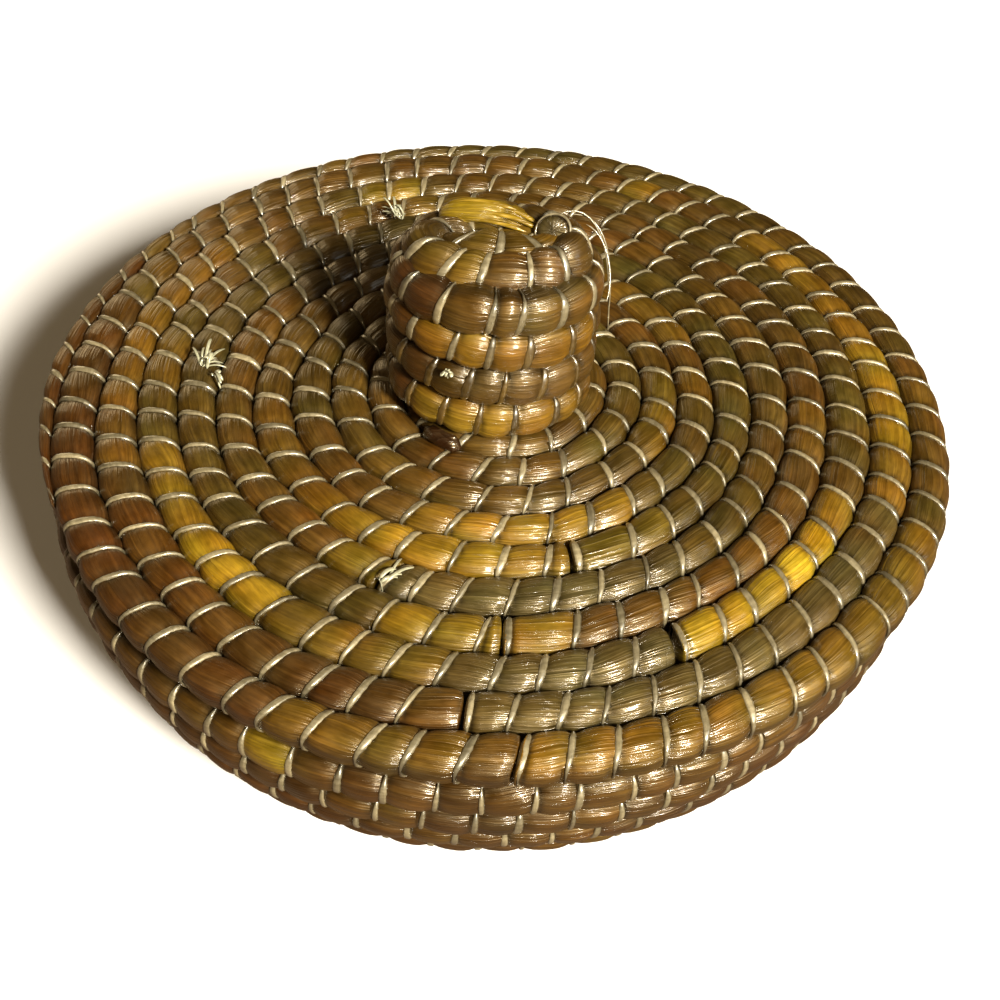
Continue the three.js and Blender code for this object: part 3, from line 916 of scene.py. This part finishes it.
def coil_end(name, centre, facing, material, ring_material):
    """The cut end of the knob's coil, a blunt bundle with a strip wound once round it, which
    looks out along facing. The bundle is an outline of radii and depths turned once round, with
    uneven rings, and the strip is a small oval carried round it. Sizes are in mm."""
    sides = 40
    outline = np.array([(3.3, -7), (4.1, -3.5), (4.3, -1.2), (4.1, -0.3), (3.5, 0.15), (2.4, 0.2),
                        (1.3, 0.45), (0.3, 0.4)])
    turn = np.linspace(0, TAU, sides, endpoint=False)
    rng = np.random.default_rng(41)
    uneven = 1 + rng.uniform(-0.05, 0.05, (len(outline), sides))
    radius = outline[:, :1] * uneven
    depth = outline[:, 1:] + rng.uniform(-0.18, 0.18, (len(outline), sides))
    flat = np.stack([radius * np.cos(turn), radius * np.sin(turn), depth], axis=-1)
    tones = np.where(np.arange(len(outline))[:, None] < 4, TONES["dark"], TONES["grey"] * 0.6)
    tones = np.repeat(tones[:, None], sides, axis=1)
    rise = np.array([0.95, 1.0, 1.0, 0.35, 0.8, 1.0, 0.7, 0.5])
    tones = tones * rise[:, None, None]
    turned = np.array(Vector(facing).to_track_quat("Z", "Y").to_matrix())
    place = np.array(centre)
    quads = grid_faces(len(outline), sides)
    points = (flat.reshape(-1, 3) @ turned.T + place) * MM
    uv = np.stack([flat[..., 2] * MM, turn[None] * 3 * MM + 0 * radius], -1).reshape(-1, 2)
    piece = make_object(name, points, quads, end_caps(len(outline), sides),
                        uv[quads.reshape(-1)], tones.reshape(-1, 3), material)
    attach(piece, "lid")
    around, across = np.meshgrid(turn, np.linspace(0, TAU, 8, endpoint=False), indexing="ij")
    reach = 4.6 + 0.40 * np.cos(across) + 0.2 * np.sin(2 * around)
    flat = np.stack([reach * np.cos(around), reach * np.sin(around),
                     0.55 * np.sin(across) - 0.9 + 0.5 * np.cos(around)], axis=-1)
    index = np.arange(sides * 8).reshape(sides, 8)
    right, down = np.roll(index, -1, axis=0), np.roll(index, -1, axis=1)
    quads = np.stack([index, right, np.roll(right, -1, axis=1), down], axis=-1).reshape(-1, 4)
    points = (flat.reshape(-1, 3) @ turned.T + place) * MM
    uv = np.stack([around * 4 * MM, across * MM], -1).reshape(-1, 2)
    piece = make_object(name + "_stitch", points, quads, (), uv[quads.reshape(-1)],
                        np.broadcast_to(PALE * 0.8, (len(points), 3)), ring_material)
    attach(piece, "lid")


def tuft(name, root, heading, count, length, seed, body, material):
    """A frayed end: fine strands that start near one point, each in the heading plus a random
    part, and bend up and then down again. Sizes are in mm."""
    rng = np.random.default_rng(seed)
    root, heading = np.array(root), np.array(heading) / np.linalg.norm(heading)
    strands = []
    for _ in range(count):
        away = heading + rng.normal(0, 0.38, 3)
        away = away / np.linalg.norm(away) * length * rng.uniform(0.5, 1.1)
        start = root + rng.normal(0, 0.7, 3)
        tip = start + away + (0, 0, -0.22 * length)
        strands.append((np.array([start, start + away * 0.5 + (0, 0, 0.2 * length), tip]),
                        rng.uniform(0.5, 1.3), rng.uniform(0.25, 0.4)))
    strands_piece(name, strands, FRAYED, body, material)


def camera():
    """The photograph's view: a point on the front of the lid at the middle of the picture."""
    back = Vector((0, -math.cos(CAMERA_ELEVATION), math.sin(CAMERA_ELEVATION)))
    right = Vector((1, 0, 0))
    up = back.cross(right)
    x = right * math.cos(CAMERA_ROLL) - up * math.sin(CAMERA_ROLL)
    y = right * math.sin(CAMERA_ROLL) + up * math.cos(CAMERA_ROLL)
    data = bpy.data.cameras.new("camera")
    data.lens, data.sensor_width = CAMERA_LENS, CAMERA_SENSOR
    data.clip_start = 10 * MM
    made = placed("camera", data)
    matrix = Matrix((x, y, back)).transposed().to_4x4()
    matrix.translation = CAMERA_AIM + back * CAMERA_DISTANCE
    made.matrix_world = matrix
    bpy.context.scene.camera = made


def lamp(name, direction, elevation, distance, size, power, colour):
    """A square soft lamp that faces the lid. direction is counted as along a coil, in degrees."""
    a, e = math.radians(direction), math.radians(elevation)
    back = Vector((math.sin(a) * math.cos(e), -math.cos(a) * math.cos(e), math.sin(e)))
    data = bpy.data.lights.new(name, "AREA")
    data.size, data.energy = size, power
    data.color = colour
    made = placed(name, data)
    made.location = LAMP_AIM + back * distance
    made.rotation_mode = "QUATERNION"
    made.rotation_quaternion = (-back).to_track_quat("-Z", "Y")


def ground():
    """A floor that the camera sees pale, and that throws little light back on the basket."""
    floor_mesh = bpy.data.meshes.new("floor")
    floor_mesh.from_pydata([(x * FLOOR_REACH, y * FLOOR_REACH, 0)
                            for x, y in ((-1, -1), (1, -1), (1, 1), (-1, 1))], [], [(0, 1, 2, 3)])
    floor = placed("floor", floor_mesh)
    material = bpy.data.materials.new("floor")
    material.use_nodes = True
    tree = material.node_tree
    shader = tree.nodes["Principled BSDF"]
    set_sockets(shader, {"Roughness": 0.9})
    seen = node(tree, "ShaderNodeLightPath")
    pale = node(tree, "ShaderNodeMix", data_type="RGBA")
    set_sockets(pale, {"A": (0.10, 0.065, 0.040, 1), "B": (0.86, 0.85, 0.83, 1)})
    tree.links.new(seen.outputs["Is Camera Ray"], pale.inputs["Factor"])
    tree.links.new(pale.outputs["Result"], shader.inputs["Base Color"])
    floor_mesh.materials.append(material)


def backdrop_and_sky():
    """A pale backdrop for the camera, and a dim warm sky for everything else."""
    world = bpy.data.worlds.new("sky")
    bpy.context.scene.world = world
    world.use_nodes = True
    tree = world.node_tree
    sky = tree.nodes["Background"]
    set_sockets(sky, {"Color": (1, 0.66, 0.28, 1), "Strength": 0.036})
    backdrop = node(tree, "ShaderNodeBackground")
    set_sockets(backdrop, {"Color": (0.95, 0.94, 0.92, 1)})
    seen = node(tree, "ShaderNodeLightPath")
    either = node(tree, "ShaderNodeMixShader")
    tree.links.new(seen.outputs["Is Camera Ray"], either.inputs[0])
    tree.links.new(sky.outputs["Background"], either.inputs[1])
    tree.links.new(backdrop.outputs["Background"], either.inputs[2])
    tree.links.new(either.outputs["Shader"], tree.nodes["World Output"].inputs["Surface"])


def lamps():
    """A soft key lamp from the front right, and weak ones beside the camera, from the right and
    from behind."""
    lamp("key", 35, 38, 3.6, 0.66, 410, (1.0, 0.93, 0.81))
    lamp("front", 2, 50, 0.9, 0.10, 0.9, (1.0, 0.74, 0.45))
    lamp("right", 76, 30, 1.6, 0.5, 2.6, (0.86, 0.94, 1.0))
    lamp("back", 215, 8, 2.0, 1.0, 8, (1.0, 0.78, 0.46))


bpy.context.scene.view_settings.view_transform = "Standard"
camera()
ground()
backdrop_and_sky()
lamps()

grass = grass_material("lacquered_grass", coat=0.75, roughness=0.40, relief=0.30 * MM,
                       contrast=0.16, shine=0.55, coat_roughness=0.14)
straw = grass_material("bright_straw", coat=0.4, roughness=0.34, relief=0.30 * MM, contrast=0.3)
strip = grass_material("pale_strip", coat=1.0, roughness=0.36, relief=0.06 * MM, contrast=0.12,
                       fine=1400, along=150, shine=1.0, coat_roughness=0.13,
                       shine_tint=(1, 0.98, 0.86, 1), coat_tint=(1, 1, 0.97, 1))

BASKET_YELLOW = math.floor(BASKET_END - 0.95) + 0.922
LOWER_WALL_START = FLOOR_ROUNDS + FOOT_ROUNDS
LOWER_WALL_END = LOWER_WALL_START + LOWER_WALL_ROUNDS
RIM_START = BASKET_END - RIM_ROUNDS

# Where a coil's tone departs from its usual mix, as the photograph shows it
BASKET_STRETCHES = (
    # Partly own tone, partly painted shade: the upper wall and rim, under the lid, are made darker
    # and redder
    (BASKET_END - 4, BASKET_END, "red", 0.62),
    (BASKET_YELLOW - 0.10, BASKET_YELLOW, "brown", 0.7),
    (BASKET_YELLOW, BASKET_YELLOW + 0.02, "straw", 0.85),
    (BASKET_YELLOW + 0.02, BASKET_YELLOW + 0.09, "red", 0.3),
)
LID_STRETCHES = (
    (1.17, 1.30, "golden", 0.6),
    (1.93, 2.12, "golden", 0.75),
    # This straw stretch and the one from 2.93 lie at the front, where the lamps glint: partly own
    # tone, partly painted highlight
    (1.96, 2.08, "straw", 0.3),
    (2.36, 2.46, "golden", 0.4),
    (2.90, 3.054, "golden", 0.9),
    (2.93, 3.02, "straw", 0.4),
    (3.054, 3.12, "straw", 0.3),
    (3.12, 3.40, "olive", 0.5),
    (3.91, 3.95, "straw", 0.35),
    (3.95, 4.12, "grey", 0.8),
    (4.18, 4.35, "brown", 0.7),
    (4.70, 4.77, "grey", 0.5),
    (4.955, 5.01, "straw", 0.45),
    (5.01, 5.05, "golden", 0.9),
    (5.05, 5.22, "brown", 0.6),
    (5.70, 5.80, "olive", 0.9),
    (5.80, 5.86, "golden", 0.8),
    (5.86, 5.905, "straw", 0.6),
    (5.905, 5.98, "golden", 0.5),
    (5.99, 6.080, "grey", 0.9),
    (6.080, 6.170, "straw", 1.0),
    (6.170, 6.20, "golden", 0.8),
    (6.22, 6.42, "olive", 0.7),
    (6.54, 6.585, "straw", 0.5),
    # The red stretches from 6.80, 7.70 and 8.68 lie on the lid's left edge, away from the key
    # lamp: partly their own tone, partly painted shade
    (6.80, 6.98, "red", 0.6),
    (6.996, 7.20, "grey", 0.75),
    (7.225, 7.29, "straw", 0.55),
    (7.29, 7.36, "golden", 0.6),
    (7.42, 7.44, "straw", 0.4),
    (7.70, 7.97, "red", 0.8),
    (7.93, 8.00, "golden", 0.5),
    (8.014, 8.20, "golden", 0.6),
    (8.68, 8.95, "red", 0.8),
)
KNOB_STRETCHES = (
    # The dark and red stretches lying from about 0.55 to 0.95 of a round are on the knob's left,
    # away from the key lamp: partly own tone, partly painted shade
    (-2.5, -1.7, "dark", 0.6),
    (-1.7, -1.0, "olive", 0.8),
    (-1.4, -1.06, "dark", 0.5),
    (-1.0, -0.80, "brown", 0.6),
    (-0.60, -0.25, "olive", 0.5),
    (-0.45, -0.04, "dark", 0.5),
    (-0.30, -0.08, "red", 0.7),
    (0.60, 0.92, "dark", 0.6),
    (0.70, 0.90, "red", 0.7),
    (0.88, 1.20, "golden", 0.95),
    (1.55, 1.965, "dark", 0.85),
    (1.96, 2.16, "grey", 0.4),
    (1.70, 1.90, "red", 0.5),
    (2.60, 2.86, "red", 0.8),
    (2.84, 3.15, "golden", 1.0),
)

# Splices, as (round, width of the gap in mm, its slant in mm from side to side)
LID_SPLICES = ((3.054, 1.1, 1.4), (3.95, 0.8, 6.0), (5.01, 0.7, 1.0), (6.080, 2.0, 2.0),
               (6.996, 0.9, 1.0), (8.014, 0.7, 3.6))

# The basket's coil is made darker all over by its shade of 0.70: partly its own tone, partly
# painted shade standing in for the shade under the lid's overhang
basket_coil = Coil(basket_line, BASKET_START, BASKET_END, seed=11, lean=-0.4 * MM,
                   warmth=0.20, shade=0.70,
                   joins=(FLOOR_ROUNDS, LOWER_WALL_START, LOWER_WALL_END, RIM_START),
                   stretches=BASKET_STRETCHES)
lid_coil = Coil(lid_line, LID_START, LID_END, seed=12, splices=LID_SPLICES,
                stretches=LID_STRETCHES)
knob_coil = Coil(knob_line, KNOB_START, KNOB_END, seed=13, spacing=9.4 * MM, lean=2.2 * MM,
                 joins=(0.0,), warmth=0.25, stretches=KNOB_STRETCHES)
locating_coil = Coil(locating_line, 0.0, LOCATING_END, seed=14)

# Coil, CAD node, first and last round, slot, and the side that shows: the one that lies on
# through the wall, which is the lid's top and the basket's inside, or the one at its back
LENGTHS = (
    (basket_coil, "base_coil", BASKET_START, FLOOR_ROUNDS, "olive_coil", "through"),
    (basket_coil, "foot_coil", FLOOR_ROUNDS, LOWER_WALL_START, "brown_coil", "back"),
    (basket_coil, "lower_wall_coil", LOWER_WALL_START, LOWER_WALL_END, "brown_coil", "back"),
    (basket_coil, "upper_wall_coil", LOWER_WALL_END, RIM_START, "olive_coil", "back"),
    (basket_coil, "rim_coil", RIM_START, BASKET_END, "brown_coil", "back"),
    (lid_coil, "lid_inner_coil", LID_START, MIDDLE_SPLICE, "olive_coil", "through"),
    (lid_coil, "lid_middle_coil", MIDDLE_SPLICE, OUTER_SPLICE, "golden_coil", "through"),
    (lid_coil, "lid_outer_coil", OUTER_SPLICE, EDGE_SPLICE, "olive_coil", "through"),
    (lid_coil, "lid_edge_coil", EDGE_SPLICE, LID_END, "brown_coil", "through"),
    (locating_coil, "locating_coil", 0.0, LOCATING_END, "olive_coil", "back"),
    (knob_coil, "knob_top_coil", KNOB_START, 0.0, "dark_coil", "through"),
    (knob_coil, "knob_side_coil", 0.0, KNOB_END, "golden_coil", "through"),
)

for coil, cad_node, first, last, slot, shown in LENGTHS:
    body = "basket" if coil is basket_coil else "lid"
    tone = knob_tone if coil is knob_coil else pale_tone
    bundle = coil_piece(coil, cad_node + "_grass", first, last, body, grass, shown)
    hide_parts(cad_node)
    sewing = stitch_piece(coil, cad_node + "_stitches", first, last, body, strip, tone)

start_piece = start_bundle(straw)
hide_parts("knob_start_bundle")

coil_end("knob_start_stub", (13.0, -1.6, 136.4), (-0.12, -0.74, 0.66), grass, strip)
strands_piece("knob_straw_wisps", (
    (((-15.5, 9.6, 134.6), (-8, 9.4, 138.0), (2, 7.4, 137.6), (9, 3.6, 134.6)), 2.0, 1.2),
    (((-14.5, 5.6, 135.4), (-6, 4.8, 138.0), (4, 3.0, 137.2), (10, 1.6, 133.8)), 1.8, 1.2),
    (((-15.8, 8.2, 135.8), (-12, 8.4, 138.8), (-4, 7.2, 138.8), (3, 5.6, 137.4)), 1.8, 1.2),
    (((-14.5, 4.4, 134.0), (-9, 3.4, 136.2), (-1, 1.8, 136.0), (6, 0.6, 134.0)), 1.6, 1.1),
), mix(TONES["golden"], TONES["straw"], 0.6) * 0.85, "lid", straw)
strands_piece("knob_tail", (
    (((-18, -22, 80), (-17, -25, 82.5), (-14, -28.6, 83.4), (-8.6, -30, 82.0)), 5.4, 4.8),
    (((-17, -22, 81), (-15, -27, 84.5), (-12, -28.8, 85.0), (-9.6, -28.8, 84.2)), 2.4, 1.8),
), TONES["red"] * 0.4, "lid", grass)
strands_piece("knob_hanging_threads", (
    (((14, 7, 135), (22, 12, 138.5), (30, 6, 133), (29.8, 1, 116), (30.6, -1, 103)), 0.6, 0.5),
    (((17, 9, 134), (27, 11, 136), (30.6, 3, 126), (30.2, -1, 108)), 0.5, 0.4),
    (((22, 4, 135), (28, 3, 133), (30.6, -3, 124), (28.8, -8, 119)), 0.6, 0.5),
), PALE * 0.7, "lid", strip)
tuft("frayed_end_left", (-85.5, 1.5, 79.3), (0.1, 1.0, 0.15), 15, 9, 3, "lid", strip)
tuft("frayed_end_left_low", (-81.5, -3.0, 80.0), (0.6, -0.6, 0.3), 5, 4.5, 4, "lid", strip)
tuft("frayed_end_back", (-35, 77, 80.5), (-0.5, 0.7, 0.35), 16, 8, 5, "lid", strip)
tuft("frayed_end_front", (-26.0, -77.5, 80.0), (0.85, 0.50, 0.05), 7, 9, 7, "lid", strip)
tuft("frayed_end_knob", (-12.4, -27.2, 108.0), (-0.2, -0.7, 0.4), 9, 3.2, 6, "lid", strip)
